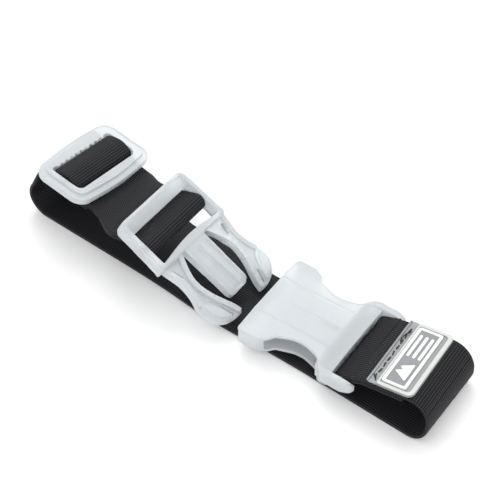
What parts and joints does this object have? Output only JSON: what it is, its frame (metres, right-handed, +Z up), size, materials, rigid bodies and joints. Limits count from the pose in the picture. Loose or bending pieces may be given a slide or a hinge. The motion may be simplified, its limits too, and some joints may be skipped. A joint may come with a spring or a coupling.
{
  "type": "luggage strap",
  "caption": "Looped ribbed webbing strap lying on its side, with an open side-release buckle, a toothed adjuster slider and a soft sewn label.",
  "frame": {"origin": "on the surface the strap lies on, under the middle of the whole object", "axes": "+X along the strap from the slider to the label, +Y across the webbing, +Z up"},
  "size_m": [0.2098, 0.0546, 0.0374],
  "materials": {
    "webbing": "ribbed polypropylene weave",
    "frosted_plastic": "frosted, slightly translucent",
    "clear_pvc": "soft and clear",
    "grey_pvc": "soft matte",
    "white_pvc": "soft matte",
    "thread": "polyester thread"
  },
  "bodies": {
    "strap": {"webbing_bottom_run": "webbing", "webbing_left_fold": "webbing", "webbing_lead_in": "webbing", "webbing_right_fold": "webbing", "webbing_top_run": "webbing", "webbing_label_run": "webbing", "webbing_tail": "webbing", "webbing_tail_end": "webbing", "webbing_socket_loop": "webbing", "webbing_upper_run": "webbing", "webbing_lower_run": "webbing", "label_hem_strip": "clear_pvc", "label_stitches": "thread"},
    "slider": {"slider_frame": "frosted_plastic", "webbing_slider_loop": "webbing", "webbing_anchor_loop": "webbing"},
    "plug": {"plug_frame": "frosted_plastic", "webbing_plug_loop": "webbing"},
    "left_arm": {"left_latch_arm": "frosted_plastic"},
    "right_arm": {"right_latch_arm": "frosted_plastic"},
    "socket": {"socket_shell": "frosted_plastic"},
    "label": {"label_base": "clear_pvc", "label_field": "grey_pvc", "label_border": "white_pvc", "label_mark": "white_pvc"}
  },
  "joints": [
    {"name": "slider_slide", "type": "slide", "parent": "strap", "child": "slider", "axis": [0.983, 0.0206, -0.1822], "range_m": [-0.004, 0.006], "deforming": ["webbing_lead_in", "webbing_upper_run", "webbing_lower_run"]},
    {"name": "plug_pivot", "type": "hinge", "parent": "strap", "child": "plug", "pos_m": [-0.03202, -0.00458, 0.02644], "axis": [0.0705, -0.9945, 0.077], "range_deg": [0, 25], "deforming": ["webbing_upper_run", "webbing_lower_run"]},
    {"name": "left_arm_flex", "type": "hinge", "parent": "plug", "child": "left_arm", "pos_m": [-0.01963, 0.01109, 0.01877], "axis": [-0.4649, -0.101, -0.8796], "range_deg": [0, 6], "stiffness_Nm_per_rad": 1.7},
    {"name": "right_arm_flex", "type": "hinge", "parent": "plug", "child": "right_arm", "pos_m": [-0.01747, -0.01934, 0.02112], "axis": [0.4649, 0.101, 0.8796], "range_deg": [0, 6], "stiffness_Nm_per_rad": 1.7},
    {"name": "socket_pivot", "type": "hinge", "parent": "strap", "child": "socket", "pos_m": [0.06325, 0.00129, 0.0079], "axis": [-0.0488, 0.9987, -0.0157], "range_deg": [0, 35]},
    {"name": "label_flap", "type": "hinge", "parent": "strap", "child": "label", "pos_m": [0.07845, 0.00189, 0.0187], "axis": [0.0875, -0.9931, 0.0776], "range_deg": [0, 50], "stiffness_Nm_per_rad": 0.002}
  ]
}
